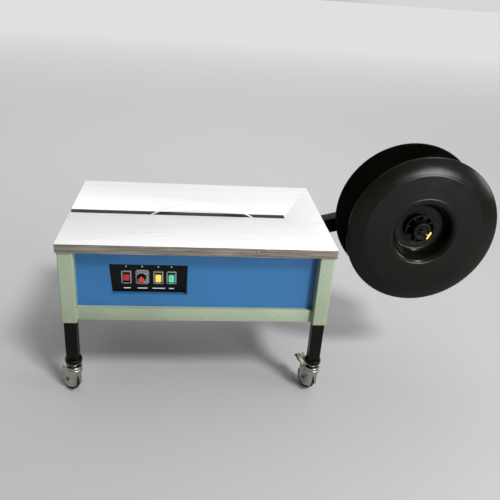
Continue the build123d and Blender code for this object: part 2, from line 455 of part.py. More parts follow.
# ---- strapping head and drive -------------------------------------------------------
cam_z = TABLE_H - CAM_DROP
hy0, hy1 = SLOT_Y - HEAD_GAP / 2, SLOT_Y + HEAD_GAP / 2
FEED_RX, FEED_RZ, FEED_R = 215.0, FRAME_TOP - 45, 24.0
sides = [block(HEAD_X0, HEAD_X1, hy0 - HEAD_T, hy0, TRAY_Z, FRAME_TOP),
         block(HEAD_X0, HEAD_X1, hy1, hy1 + HEAD_T, TRAY_Z, FRAME_TOP)]
guide = block(HEAD_X - 60, HEAD_X + 50, hy0, hy1, FRAME_TOP - 90, FRAME_TOP)
blocks = []
for dx in (-38, -8, 22):
    guide -= block(HEAD_X + dx - 9 - GAP, HEAD_X + dx + 9 + GAP,
                   SLOT_Y - 10 - GAP, SLOT_Y + 10 + GAP, 0, FRAME_TOP + 1)
    blocks.append(block(HEAD_X + dx - 9, HEAD_X + dx + 9, SLOT_Y - 10, SLOT_Y + 10,
                        FRAME_TOP - 110, FRAME_TOP - KEY_TRAVEL - GAP))
blocks.append(block(HEAD_X - 50, HEAD_X + 34, SLOT_Y - 8, SLOT_Y + 8, FRAME_TOP - 118, FRAME_TOP - 110))
gripper = blocks[0]
for extra in blocks[1:]:
    gripper += extra
keep("gripper_blocks", gripper)
shaft_hole = rod_y(HEAD_X, hy0 - 50, hy1 + 50, cam_z, CAM_SHAFT_R + FIT)
roller_hole = rod_y(FEED_RX, hy0 - 50, hy1 + 50, FEED_RZ, 8 + FIT)
keep("head_frame", *[s - shaft_hole - roller_hole for s in sides], guide)

GEAR_D = 70.0
gear_y0 = hy1 + HEAD_T
cams = rod_y(HEAD_X, hy0 - HEAD_T - 8, gear_y0 + 40, cam_z, CAM_SHAFT_R)
for i, dy in enumerate((-24, 0, 24)):
    lobe = rod_y(7, SLOT_Y + dy - 5, SLOT_Y + dy + 5, 0, CAM_R - 7)
    cams += Pos(HEAD_X, 0, cam_z) * Rot(0, 120 * i, 0) * lobe
keep("cam_shaft", cams)
roller = rod_y(FEED_RX, hy0 + 1, hy1 - 1, FEED_RZ, FEED_R)
roller += rod_y(FEED_RX, hy0 - HEAD_T - 4, hy1 + HEAD_T + 4, FEED_RZ, 8)
keep("feed_roller", roller)

gear = block(HEAD_X - 45, HEAD_X + 45, gear_y0, gear_y0 + GEAR_D, cam_z - 50, cam_z + 50)
gear = fillet(gear.edges().filter_by(Axis.Y), 10)
gear -= rod_y(HEAD_X, gear_y0 - 1, gear_y0 + 42, cam_z, CAM_SHAFT_R + FIT)
belt_y0 = gear_y0 + GEAR_D + 3
gear += rod_y(HEAD_X, gear_y0 + GEAR_D - 2, belt_y0 + PULLEY_W + 1, cam_z, 8)
keep("gear_reducer", gear)


def pulley(r, bore):
    wheel = rod_y(0, 0, PULLEY_W, 0, r)
    for y in (0, PULLEY_W - 1.5):
        wheel += rod_y(0, y, y + 1.5, 0, r + 4)
    return wheel - rod_y(0, -1, PULLEY_W + 1, 0, bore) if bore else wheel


keep("reducer_pulley", Pos(HEAD_X, belt_y0, cam_z) * pulley(GEAR_PULLEY_R, 8 + FIT))
motor_z = TRAY_Z + MOTOR_R + 8
motor_y1 = belt_y0 - 4
motor = rod_y(MOTOR_X, motor_y1 - MOTOR_L, motor_y1, motor_z, MOTOR_R)
motor = fillet(motor.edges().filter_by(GeomType.CIRCLE), 5)
motor += block(MOTOR_X - 50, MOTOR_X + 50, motor_y1 - MOTOR_L + 25, motor_y1 - 25,
               TRAY_Z, motor_z - MOTOR_R * 0.7)
motor -= rod_y(MOTOR_X, motor_y1 - 25, motor_y1 + 1, motor_z, 7 + FIT)
keep("drive_motor", motor)
keep("motor_pulley", Pos(MOTOR_X, belt_y0, motor_z) * (pulley(MOTOR_PULLEY_R, 0) + rod_y(0, -24, 1, 0, 7)))

gap_x, gap_z = HEAD_X - MOTOR_X, cam_z - motor_z


def belt_area(extra):
    """Outline round both pulleys, as two discs and the strip between them."""
    ra, rb = MOTOR_PULLEY_R + extra, GEAR_PULLEY_R + extra
    span = sqrt(gap_x ** 2 + gap_z ** 2)
    turn, lean = degrees(atan2(gap_z, gap_x)), degrees(atan2(rb - ra, sqrt(span ** 2 - (rb - ra) ** 2)))
    at = lambda r, side: (r * cos(radians(side * (90 + lean))), r * sin(radians(side * (90 + lean))))
    (ax, ay), (bx, by), (cx_, cy_), (dx_, dy_) = at(ra, 1), at(rb, 1), at(rb, -1), at(ra, -1)
    strip = make_face(Polyline((ax, ay), (span + bx, by), (span + cx_, cy_), (dx_, dy_), close=True))
    return Pos(MOTOR_X, motor_z) * Rot(0, 0, turn) * (strip + Circle(ra) + Pos(span, 0) * Circle(rb))


belt = plate_xz(belt_area(GAP + BELT_T), belt_y0 + 2, belt_y0 + PULLEY_W - 2)
belt -= plate_xz(belt_area(GAP), belt_y0 + 1, belt_y0 + PULLEY_W - 1)
keep("drive_belt", belt)

pool = block(270, 384, SLOT_Y - 16, SLOT_Y + 16, TRAY_Z, STRAP_IN_Z + 30)
pool -= block(272, 382, SLOT_Y - 14, SLOT_Y + 14, TRAY_Z + 2, STRAP_IN_Z + 40)
pool -= block(376, 400, SLOT_Y - 12, SLOT_Y + 12, STRAP_IN_Z - 4, STRAP_IN_Z + 60)
keep("strap_pool", pool)
box = block(-360, -240, -200, -90, TRAY_Z, TRAY_Z + 80)
box = fillet(box.edges().filter_by(Axis.Z), 3) - block(-357, -243, -197, -93, TRAY_Z + 2, TRAY_Z + 78)
keep("electrics_box", box)

# ---- write --------------------------------------------------------------------------
bounds = Compound([s for solids in nodes.values() for s in solids]).bounding_box()
SHIFT_X, SHIFT_Y = -(bounds.min.X + bounds.max.X) / 2, -(bounds.min.Y + bounds.max.Y) / 2
os.makedirs("parts", exist_ok=True)
for name, solids in nodes.items():
    moved = [Pos(SHIFT_X, SHIFT_Y, 0) * s for s in solids]
    export_step(moved[0] if len(moved) == 1 else Compound(moved), "parts/" + name + ".step")
print(len(nodes), "nodes", sum(len(s) for s in nodes.values()), "solids", bounds.min, bounds.max)
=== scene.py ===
import json
from math import asin, pi, radians, sin, tau

import bmesh
import bpy
from mathutils import Matrix, Vector

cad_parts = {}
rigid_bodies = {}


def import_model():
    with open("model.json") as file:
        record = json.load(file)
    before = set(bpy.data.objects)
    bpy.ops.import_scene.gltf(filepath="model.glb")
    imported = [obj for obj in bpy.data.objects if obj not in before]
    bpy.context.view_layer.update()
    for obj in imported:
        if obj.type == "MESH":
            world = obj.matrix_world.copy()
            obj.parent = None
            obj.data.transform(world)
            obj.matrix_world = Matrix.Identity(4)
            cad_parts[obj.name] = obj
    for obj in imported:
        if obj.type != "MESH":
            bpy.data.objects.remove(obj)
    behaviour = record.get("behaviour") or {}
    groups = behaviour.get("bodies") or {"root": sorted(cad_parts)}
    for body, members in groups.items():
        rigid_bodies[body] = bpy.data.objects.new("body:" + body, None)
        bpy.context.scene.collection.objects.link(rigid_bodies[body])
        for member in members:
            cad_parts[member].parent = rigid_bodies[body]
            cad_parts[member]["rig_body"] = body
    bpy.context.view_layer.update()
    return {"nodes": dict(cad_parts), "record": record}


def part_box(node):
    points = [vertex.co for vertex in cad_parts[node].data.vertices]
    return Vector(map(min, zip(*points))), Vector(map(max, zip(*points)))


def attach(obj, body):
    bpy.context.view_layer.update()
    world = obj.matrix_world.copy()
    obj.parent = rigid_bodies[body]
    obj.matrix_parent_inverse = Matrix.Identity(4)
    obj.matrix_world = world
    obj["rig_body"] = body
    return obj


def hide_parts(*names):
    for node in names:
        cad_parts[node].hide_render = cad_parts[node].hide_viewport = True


# Semi automatic strapping machine. Shapes are drawn in millimetres about the middle of the
# tabletop, floor at zero, front towards -Y, and put in their place in metres at the end.

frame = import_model()
nodes, record = frame["nodes"], frame["record"]
scene = bpy.context.scene

top_lo, top_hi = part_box("table_top")
MIDDLE = Vector(((top_lo.x + top_hi.x) / 2, (top_lo.y + top_hi.y) / 2, 0))
TO_METRES = Matrix.Translation(MIDDLE) @ Matrix.Scale(0.001, 4)
TABLE_TOP = top_hi.z * 1000
TABLE_D = (top_hi.y - top_lo.y) * 1000


def span(node):
    """Lowest and highest corner of a CAD node in millimetres about the tabletop's middle."""
    lo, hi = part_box(node)
    return (lo - MIDDLE) * 1000, (hi - MIDDLE) * 1000


# ---- finishes -----------------------------------------------------------------------
class Finish:
    """A surface finish with its pattern taken from the piece's own coordinates."""

    def __init__(self, name, **sockets):
        self.mat = bpy.data.materials.new(name)
        self.mat.use_nodes = True
        self.tree = self.mat.node_tree
        self.tree.nodes.clear()
        out = self.tree.nodes.new("ShaderNodeOutputMaterial")
        self.shader = self.tree.nodes.new("ShaderNodeBsdfPrincipled")
        self.join(self.shader.outputs["BSDF"], out.inputs["Surface"])
        self.place = self.tree.nodes.new("ShaderNodeTexCoord").outputs["Object"]
        for socket, value in sockets.items():
            self.shader.inputs[socket.replace("_", " ")].default_value = value

    def join(self, a, b):
        self.tree.links.new(a, b)
        return b

    def stretch(self, x, y, z):
        """Coordinates scaled differently along each axis, for drawn or brushed patterns."""
        node = self.tree.nodes.new("ShaderNodeMapping")
        node.inputs["Scale"].default_value = (x, y, z)
        self.join(self.place, node.inputs["Vector"])
        return node.outputs["Vector"]

    def grain(self, scale, detail=3.0, rough=0.5, where=None):
        node = self.tree.nodes.new("ShaderNodeTexNoise")
        node.inputs["Scale"].default_value = scale
        node.inputs["Detail"].default_value = detail
        node.inputs["Roughness"].default_value = rough
        self.join(where or self.place, node.inputs["Vector"])
        return node.outputs["Fac"]

    def ramp(self, factor, *stops):
        """Greys or colours at given positions along a factor."""
        node = self.tree.nodes.new("ShaderNodeValToRGB")
        band = node.color_ramp
        while len(band.elements) < len(stops):
            band.elements.new(0.5)
        for element, (at, value) in zip(band.elements, stops):
            element.position = at
            element.color = (*value, 1) if isinstance(value, tuple) else (value, value, value, 1)
        self.join(factor, node.inputs["Fac"])
        return node.outputs["Color"]

    def blend(self, factor, low, high, mode="MIX"):
        node = self.tree.nodes.new("ShaderNodeMix")
        node.data_type, node.blend_type = "RGBA", mode
        for socket, value in ((node.inputs[0], factor), (node.inputs[6], low), (node.inputs[7], high)):
            if isinstance(value, bpy.types.NodeSocket):
                self.join(value, socket)
            elif isinstance(value, tuple):
                socket.default_value = (*value, 1)
            else:
                socket.default_value = value
        return node.outputs[2]

    def sum(self, operation, a, b):
        node = self.tree.nodes.new("ShaderNodeMath")
        node.operation = operation
        for socket, value in zip(node.inputs, (a, b)):
            if isinstance(value, bpy.types.NodeSocket):
                self.join(value, socket)
            else:
                socket.default_value = value
        return node.outputs[0]

    def colour(self, value):
        self.join(value, self.shader.inputs["Base Color"])

    def gloss(self, factor, smooth, rough):
        self.join(self.ramp(factor, (0.3, smooth), (0.7, rough)), self.shader.inputs["Roughness"])

    def relief(self, height, depth, strength=1.0):
        node = self.tree.nodes.new("ShaderNodeBump")
        node.inputs["Strength"].default_value = strength
        node.inputs["Distance"].default_value = depth
        self.join(height, node.inputs["Height"])
        self.join(node.outputs["Normal"], self.shader.inputs["Normal"])


def shade(colour, factor):
    return tuple(min(1.0, c * factor) for c in colour)


def enamel(name, colour, smooth=0.28, rough=0.42, peel=0.00006, shine=0.5):
    """Sprayed enamel: faint cloudiness, orange peel and small dark specks."""
    f = Finish(name, Specular_IOR_Level=shine)
    cloud = f.grain(6.0, 4.0)
    base = f.ramp(cloud, (0.3, shade(colour, 0.93)), (0.7, shade(colour, 1.05)))
    specks = f.ramp(f.grain(420.0, 2.0), (0.66, 0.0), (0.74, 1.0))
    f.colour(f.blend(f.sum("MULTIPLY", specks, 0.18), base, shade(colour, 0.7)))
    f.gloss(f.grain(40.0, 3.0), smooth, rough)
    f.relief(f.grain(520.0, 2.0), peel)
    return f.mat


def plated(name, colour, smooth=0.16, rough=0.34, scale=60.0):
    """Plated or machined metal with fine scratches and uneven brightness."""
    f = Finish(name, Metallic=1.0)
    f.colour(f.ramp(f.grain(scale, 5.0, 0.6), (0.25, shade(colour, 0.8)), (0.75, shade(colour, 1.08))))
    f.gloss(f.grain(scale * 4, 4.0), smooth, rough)
    f.relief(f.grain(900.0, 3.0, 0.6, f.stretch(1, 1, 0.12)), 0.00004)
    return f.mat


def moulded(name, colour, smooth=0.3, rough=0.5, pitch=900.0, depth=0.00005, shine=0.5):
    """Moulded plastic or rubber with a fine skin."""
    f = Finish(name, Specular_IOR_Level=shine)
    f.colour(f.ramp(f.grain(14.0, 4.0), (0.3, shade(colour, 0.86)), (0.7, shade(colour, 1.12))))
    f.gloss(f.grain(50.0, 3.0), smooth, rough)
    f.relief(f.grain(pitch, 2.0), depth)
    return f.mat


def brushed_table():
    """Stainless sheet brushed along its length, with painted reflection: near white on top, painted
    darker brown round the skirt.
    """
    f = Finish("brushed_stainless")
    streaks = f.grain(1.0, 4.0, 0.6, f.stretch(14, 1100, 1100))
    cloud = f.grain(3.2, 3.0)
    upward = f.tree.nodes.new("ShaderNodeSeparateXYZ")
    coords = f.tree.nodes.new("ShaderNodeTexCoord")
    f.join(coords.outputs["Normal"], upward.inputs["Vector"])
    # painted light: faces looking up get the near-white top, faces looking sideways the dark brown
    # skirt, standing in for the bright and dark surroundings the steel reflects
    flat = f.ramp(upward.outputs["Z"], (0.35, 0.0), (0.8, 1.0))
    f.join(f.ramp(flat, (0.0, 0.75), (1.0, 0.3)), f.shader.inputs["Metallic"])
    drawn = f.grain(1.0, 5.0, 0.65, f.stretch(7, 60, 420))
    # painted reflection: the skirt's dark brown stands in for the dark surround it mirrors, laid over
    # its real drawn grain
    side = f.ramp(drawn, (0.34, (0.13, 0.108, 0.086)), (0.5, (0.27, 0.24, 0.20)),
                  (0.66, (0.47, 0.44, 0.39)))
    top = f.ramp(streaks, (0.2, (0.87, 0.87, 0.86)), (0.8, (0.93, 0.93, 0.92)))
    haze = f.sum("MULTIPLY", f.ramp(cloud, (0.35, 0.0), (0.75, 1.0)), 0.3)
    top = f.blend(haze, top, (0.85, 0.85, 0.875))
    specks = f.ramp(f.grain(60.0, 1.0), (0.80, 0.0), (0.83, 1.0))
    top = f.blend(f.sum("MULTIPLY", specks, 0.35), top, (0.55, 0.54, 0.52))
    f.colour(f.blend(flat, side, top))
    f.gloss(f.grain(1.0, 4.0, 0.5, f.stretch(4, 160, 160)), 0.26, 0.42)
    f.relief(streaks, 0.00003)
    return f.mat


def plywood():
    """Plies seen on edge, with pale grain on the faces."""
    f = Finish("plywood", Roughness=0.7)
    plies = f.tree.nodes.new("ShaderNodeTexWave")
    plies.bands_direction = "Z"
    plies.inputs["Scale"].default_value = 90.0
    plies.inputs["Distortion"].default_value = 0.4
    f.join(f.place, plies.inputs["Vector"])
    fibre = f.grain(1.0, 6.0, 0.6, f.stretch(6, 90, 90))
    face = f.ramp(fibre, (0.3, (0.36, 0.23, 0.12)), (0.7, (0.60, 0.43, 0.26)))
    f.colour(f.blend(f.sum("MULTIPLY", plies.outputs["Fac"], 0.4), face, (0.24, 0.14, 0.07)))
    f.relief(fibre, 0.0001)
    return f.mat


def embossed_strap():
    """White strapping with its rolled diamond pattern."""
    f = Finish("embossed_strap", Roughness=0.42, Subsurface_Weight=0.05)
    waves = []
    for turn in (45, -45):
        turned_place = f.tree.nodes.new("ShaderNodeMapping")
        turned_place.inputs["Rotation"].default_value = (0, 0, radians(turn))
        f.join(f.place, turned_place.inputs["Vector"])
        wave = f.tree.nodes.new("ShaderNodeTexWave")
        wave.bands_direction = "X"
        wave.inputs["Scale"].default_value = 105.0
        f.join(turned_place.outputs["Vector"], wave.inputs["Vector"])
        waves.append(wave.outputs["Fac"])
    diamonds = f.sum("MULTIPLY", waves[0], waves[1])
    white = f.ramp(f.grain(30.0, 3.0), (0.3, (0.80, 0.80, 0.76)), (0.7, (0.90, 0.90, 0.87)))
    f.colour(f.blend(f.sum("MULTIPLY", diamonds, 0.25), white, (0.70, 0.70, 0.66)))
    f.relief(diamonds, 0.00025)
    return f.mat


def lens(name, colour, painted_glow):
    """Coloured switch cap with a faint painted glow, and the dimple grid of its diffuser."""
    f = Finish(name, Coat_Weight=0.6, Coat_Roughness=0.06, Emission_Strength=painted_glow)
    mottle = f.ramp(f.grain(260.0, 2.0), (0.3, shade(colour, 0.82)), (0.7, shade(colour, 1.1)))
    f.colour(mottle)
    # painted glow: the cap's own colour is given off as light, though the cap holds no lamp
    f.join(mottle, f.shader.inputs["Emission Color"])
    f.gloss(f.grain(80.0, 2.0), 0.18, 0.3)
    f.relief(f.grain(700.0, 1.0), 0.00004)
    return f.mat


def flow_marked():
    """Glossy black reel moulding: faint turned flow marks and handling scuffs."""
    f = Finish("reel_moulding", Specular_IOR_Level=0.16)
    lo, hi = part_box("front_flange")
    centred = f.tree.nodes.new("ShaderNodeMapping")
    centred.inputs["Location"].default_value = (-(lo.x + hi.x) / 2, 0, -(lo.z + hi.z) / 2)
    f.join(f.place, centred.inputs["Vector"])
    level = f.tree.nodes.new("ShaderNodeVectorMath")
    level.operation = "MULTIPLY"
    level.inputs[1].default_value = (1, 0, 1)
    f.join(centred.outputs["Vector"], level.inputs[0])
    length = f.tree.nodes.new("ShaderNodeVectorMath")
    length.operation = "LENGTH"
    f.join(level.outputs["Vector"], length.inputs[0])
    rings = f.grain(1.0, 4.0, 0.6, f.sum("MULTIPLY", length.outputs["Value"], 160.0))
    cloud = f.grain(7.0, 5.0, 0.6)
    f.colour(f.ramp(cloud, (0.3, (0.0030, 0.0025, 0.0016)), (0.7, (0.0052, 0.0044, 0.0029))))
    scuffs = f.grain(28.0, 5.0, 0.65)
    mixed = f.sum("ADD", f.sum("MULTIPLY", rings, 0.45), f.sum("MULTIPLY", scuffs, 0.55))
    f.gloss(mixed, 0.16, 0.27)
    f.relief(f.grain(600.0, 2.0), 0.00003)
    return f.mat


GREEN, BLUE = (0.262, 0.312, 0.222), (0.026, 0.130, 0.300)
finishes = {
    "stainless": brushed_table(),
    "frame_green": enamel("green_enamel", GREEN, 0.26, 0.38),
    "panel_blue": enamel("blue_enamel", BLUE, 0.34, 0.48, shine=0.35),
    "black_steel": enamel("black_enamel", (0.0036, 0.0034, 0.0024), 0.3, 0.46, shine=0.10),
    "zinc": plated("zinc_plate", (0.42, 0.41, 0.355), 0.12, 0.26),
    "steel": plated("machined_steel", (0.5, 0.5, 0.5), 0.28, 0.45),
    "wheel_rubber": moulded("wheel_rubber", (0.012, 0.0115, 0.010), 0.45, 0.7, 700.0, 0.0001, 0.2),
    "black_plastic": moulded("black_moulding", (0.0036, 0.0036, 0.0035), 0.33, 0.5, shine=0.12),
    "reel_black": flow_marked(),
    "board": plywood(),
    "bezel_grey": plated("satin_aluminium", (0.50, 0.52, 0.55), 0.35, 0.5),
    "red": lens("red_cap", (0.50, 0.030, 0.022), 0.05),
    "yellow": lens("yellow_cap", (0.88, 0.70, 0.09), 0.12),
    "green": lens("green_cap", (0.08, 0.60, 0.34), 0.12),
    "strap_white": embossed_strap(),
    "belt_rubber": moulded("belt_rubber", (0.02, 0.02, 0.02), 0.6, 0.8, 500.0, 0.0001),
    "motor_grey": enamel("cast_motor_grey", (0.10, 0.12, 0.14), 0.4, 0.6, 0.0002),
}
rocker_red = lens("rocker_red", (0.33, 0.016, 0.011), 0.02)
print_white = moulded("printed_white", (0.72, 0.72, 0.70), 0.5, 0.6)


def speckled_dial():
    """Anodised dial plate with a coarse light and dark speckle."""
    f = Finish("speckled_dial", Roughness=0.45)
    cells = f.tree.nodes.new("ShaderNodeTexVoronoi")
    cells.inputs["Scale"].default_value = 190.0
    f.join(f.place, cells.inputs["Vector"])
    light = f.ramp(cells.outputs["Distance"], (0.12, (0.42, 0.43, 0.46)), (0.45, (0.085, 0.087, 0.095)))
    f.colour(f.blend(f.grain(90.0, 3.0), light, (0.16, 0.165, 0.175)))
    f.relief(cells.outputs["Distance"], 0.00004)
    return f.mat


dial_look = speckled_dial()
worn_bed = enamel("worn_slot_bed", (0.085, 0.078, 0.064), 0.3, 0.45)

slot_of = {entry["node"]: entry["material_slot"] for entry in record["subparts"]}
for name, obj in nodes.items():
    obj.data.materials.clear()
    obj.data.materials.append(finishes[slot_of[name]])


# ---- shop tools ---------------------------------------------------------------------
def finish_piece(name, bm, slot, body="frame", stands_for=(), look=None, smooth=32):
    """Close up a shape drawn in millimetres, place it in metres and mount it on its body."""
    bmesh.ops.remove_doubles(bm, verts=bm.verts, dist=0.0005)
    bmesh.ops.recalc_face_normals(bm, faces=bm.faces)
    bm.transform(TO_METRES)
    mesh = bpy.data.meshes.new(name)
    bm.to_mesh(mesh)
    bm.free()
    mesh.materials.append(look or finishes[slot])
    mesh.shade_smooth()
    mesh.set_sharp_from_angle(angle=radians(smooth))
    obj = bpy.data.objects.new(name, mesh)
    scene.collection.objects.link(obj)
    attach(obj, body)
    if stands_for:
        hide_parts(*stands_for)


def add(target, shape, place=Matrix.Identity(4)):
    """Put a finished shape into another one."""
    shape.transform(place)
    carrier = bpy.data.meshes.new("carrier")
    shape.to_mesh(carrier)
    shape.free()
    target.from_mesh(carrier)
    bpy.data.meshes.remove(carrier)


def slab(x0, x1, y0, y1, z0, z1, edge, segments=2):
    """Block between two corners with rounded edges."""
    bm = bmesh.new()
    bmesh.ops.create_cube(bm, size=1)
    bmesh.ops.scale(bm, vec=(x1 - x0, y1 - y0, z1 - z0), verts=bm.verts)
    bmesh.ops.translate(bm, vec=((x0 + x1) / 2, (y0 + y1) / 2, (z0 + z1) / 2), verts=bm.verts)
    bmesh.ops.bevel(bm, geom=bm.edges[:], offset=edge, segments=segments, profile=0.5,
                    affect="EDGES", material=-1)
    return bm


def turned(outline, steps):
    """Turn a closed (radius, height, rounding) outline round the Z axis."""
    bm = bmesh.new()
    ring = [bm.verts.new((r, 0, z)) for r, z, _ in outline]
    for a, b in zip(ring, ring[1:] + ring[:1]):
        bm.edges.new((a, b))
    for size in sorted({p[2] for p in outline if p[2]}):
        corners = [v for v, p in zip(ring, outline) if p[2] == size]
        bmesh.ops.bevel(bm, geom=corners, offset=size, segments=5 if size > 1 else 2, profile=0.5,
                        affect="VERTICES", material=-1)
    bmesh.ops.spin(bm, geom=bm.verts[:] + bm.edges[:], cent=(0, 0, 0), axis=(0, 0, 1), angle=tau,
                   steps=steps, use_merge=True)
    bmesh.ops.remove_doubles(bm, verts=bm.verts, dist=0.0005)
    bmesh.ops.recalc_face_normals(bm, faces=bm.faces)
    return bm


def eased(node, edge, smooth=32, look=None):
    """A CAD node's shape with its sharp edges eased and its curves shaded smooth."""
    bm = bmesh.new()
    bm.from_mesh(nodes[node].data)
    bm.transform(TO_METRES.inverted())
    bmesh.ops.remove_doubles(bm, verts=bm.verts, dist=0.002)
    bmesh.ops.dissolve_limit(bm, angle_limit=radians(0.6), verts=bm.verts, edges=bm.edges)
    if edge:
        sharp = [e for e in bm.edges if len(e.link_faces) == 2 and e.calc_face_angle() > radians(40)]
        bmesh.ops.bevel(bm, geom=sharp, offset=edge, segments=2, profile=0.5,
                        affect="EDGES", material=-1, clamp_overlap=True)
    finish_piece(node + "_finished", bm, slot_of[node], nodes[node]["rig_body"], (node,), look, smooth)


# ---- frame, table and panels --------------------------------------------------------
for corner in ("front_left", "front_right", "rear_left", "rear_right"):
    eased("post_" + corner, 0.5)
    eased("leg_" + corner, 0.5)
for node, edge in (("table_top", 0.35), ("lower_rails", 0.8), ("bottom_tray", 0.4),
                   ("front_panel", 0.35), ("rear_panel", 0.3), ("left_panel", 0.3),
                   ("right_panel", 0.5), ("power_inlet", 0.4), ("control_plate", 0.3)):
    eased(node, edge)
eased("slot_track", 0.3, look=worn_bed)
eased("slide_plate", 0.3)

post_lo, post_hi = span("post_front_left")
rail_lo, rail_hi = span("lower_rails")
POST = post_hi.x - post_lo.x
POST_IN_X, POST_IN_Y = -post_hi.x, -post_hi.y


def weld_bead(length, size=2.6):
    """A rippled fillet weld lying along X, with its corner at the origin."""
    bm = bmesh.new()
    ripples = max(6, int(length / 2.4))
    bmesh.ops.create_cone(bm, cap_ends=True, segments=10, radius1=size, radius2=size, depth=length,
                          matrix=Matrix.Rotation(pi / 2, 4, "Y"))
    rims = [e for e in bm.edges if abs(e.verts[0].co.x - e.verts[1].co.x) > 1]
    bmesh.ops.subdivide_edges(bm, edges=rims, cuts=ripples, use_grid_fill=True)
    for v in bm.verts:
        swell = 1 + 0.16 * sin(v.co.x * 2.6) - (0.5 if abs(v.co.x) > length / 2 - 0.1 else 0)
        v.co.y *= swell
        v.co.z *= swell
    return bm


# upright welds where the outer faces of the lower rails meet the posts
welds = bmesh.new()
rail_mid_z = (rail_lo.z + rail_hi.z) / 2
UPRIGHT = Matrix.Rotation(pi / 2, 4, "Y")
bead_length = rail_hi.z - rail_lo.z - 6
for sx in (-1, 1):
    for sy in (-1, 1):
        for x, y in ((sx * POST_IN_X, sy * abs(rail_lo.y)), (sx * abs(rail_lo.x), sy * POST_IN_Y)):
            add(welds, weld_bead(bead_length), Matrix.Translation((x, y, rail_mid_z)) @ UPRIGHT)
finish_piece("rail_welds", welds, "frame_green", smooth=60)


# ---- screws and bolts ---------------------------------------------------------------
def domed_head(radius, height, socket):
    """Domed screw head looking along Z, with a sunk round recess."""
    bm = bmesh.new()
    bmesh.ops.create_circle(bm, cap_ends=True, segments=28, radius=radius)
    bmesh.ops.solidify(bm, geom=bm.faces[:], thickness=-height)
    lo, hi = min(v.co.z for v in bm.verts), max(v.co.z for v in bm.verts)
    bmesh.ops.translate(bm, vec=(0, 0, -lo), verts=bm.verts)
    rim = [e for e in bm.edges if all(v.co.z > (hi - lo) * 0.9 for v in e.verts)]
    bmesh.ops.bevel(bm, geom=rim, offset=height * 0.7, segments=4, profile=0.5, affect="EDGES",
                    material=-1)
    crown = max(bm.faces, key=lambda f: f.calc_center_median().z)
    bmesh.ops.inset_region(bm, faces=[crown], thickness=max(0.1, radius - height * 0.7 - socket))
    crown = max(bm.faces, key=lambda f: (f.calc_center_median().z, f.calc_area()))
    made = bmesh.ops.extrude_face_region(bm, geom=[crown])
    sunk = [v for v in made["geom"] if isinstance(v, bmesh.types.BMVert)]
    bmesh.ops.delete(bm, geom=[crown], context="FACES_ONLY")
    bmesh.ops.translate(bm, vec=(0, 0, -height * 0.6), verts=sunk)
    return bm


SCREW_X, SCREW_DROP = 181.0, 10.5           # skirt screws, from the table's middle and surface
SCREW, BOLT = (4.2, 1.7, 1.5), (8.5, 4.0, 3.0)     # sizes for domed_head
LEG_BOLT_UP = 55.0                          # above the foot of the post
ARM_BOLT_Y, ARM_PLATE_T, ARM_BOLT_DROP, ARM_BOLT_UP = 50.0, 8.0, 45.5, 14.0


def facing_out(x, y, z, axis, turn):
    """Place for a screw head that looks sideways out of a face."""
    return Matrix.Translation((x, y, z)) @ Matrix.Rotation(turn, 4, axis)


fasteners = bmesh.new()
foot_lo, foot_hi = span("reel_arm")
arm_y = (foot_lo.y + foot_hi.y) / 2
for sy in (-1, 1):
    place = facing_out(-sy * SCREW_X, sy * TABLE_D / 2, TABLE_TOP - SCREW_DROP, "X", -sy * pi / 2)
    add(fasteners, domed_head(*SCREW), place)
    for sx in (-1, 1):
        place = facing_out(sx * (POST_IN_X + POST), sy * (POST_IN_Y + POST / 2), post_lo.z + LEG_BOLT_UP,
                           "Y", sx * pi / 2)
        add(fasteners, domed_head(*BOLT), place)
for dy in (-ARM_BOLT_Y, ARM_BOLT_Y):
    for z in (TABLE_TOP - ARM_BOLT_DROP, foot_lo.z + ARM_BOLT_UP):
        place = facing_out(foot_lo.x + ARM_PLATE_T, arm_y + dy, z, "Y", pi / 2)
        add(fasteners, domed_head(*BOLT), place)
finish_piece("screw_and_bolt_heads", fasteners, "steel", stands_for=("fasteners",),
             look=finishes["zinc"])


# ---- controls -----------------------------------------------------------------------
OPENING_X, OPENING_DROP, OPENING_H, OPENING_DEPTH = -159.5, 84.5, 107.5, 16.0
lean = Vector((0, OPENING_H, OPENING_DEPTH)).normalized()
PLATE = Matrix.Translation((OPENING_X, span("front_panel")[0].y, TABLE_TOP - OPENING_DROP)) @ Matrix(
    ((1, 0, 0, 0), (0, -lean.z, -lean.y, 0), (0, lean.y, -lean.z, 0), (0, 0, 0, 1)))


def on_plate(x, drop, height=0.0):
    """A place on the control plate: x, distance below the table surface, height off the plate."""
    along = -(drop - OPENING_DROP) / lean.y
    return PLATE @ Matrix.Translation((x - OPENING_X, along, height))


def ring_frame(width, height, border, thick, corner, edge):
    """Flat frame with rounded corners and eased front edges, lying on the plate."""
    bm = bmesh.new()
    bmesh.ops.create_grid(bm, x_segments=1, y_segments=1, size=0.5)
    bmesh.ops.scale(bm, vec=(width, height, 1), verts=bm.verts)
    bmesh.ops.bevel(bm, geom=bm.verts[:], offset=corner, segments=5, profile=0.5, affect="VERTICES",
                    material=-1)
    bmesh.ops.inset_individual(bm, faces=bm.faces[:], thickness=border, use_even_offset=True)
    middle = max(bm.faces, key=lambda f: len(f.verts))
    bmesh.ops.delete(bm, geom=[middle], context="FACES_ONLY")
    bmesh.ops.solidify(bm, geom=bm.faces[:], thickness=thick)
    low = min(v.co.z for v in bm.verts)
    bmesh.ops.translate(bm, vec=(0, 0, -low), verts=bm.verts)
    sharp = [e for e in bm.edges if len(e.link_faces) == 2 and e.calc_face_angle() > radians(50)
             and min(v.co.z for v in e.verts) > thick * 0.5]
    bmesh.ops.bevel(bm, geom=sharp, offset=edge, segments=2, profile=0.5, affect="EDGES", material=-1)
    return bm


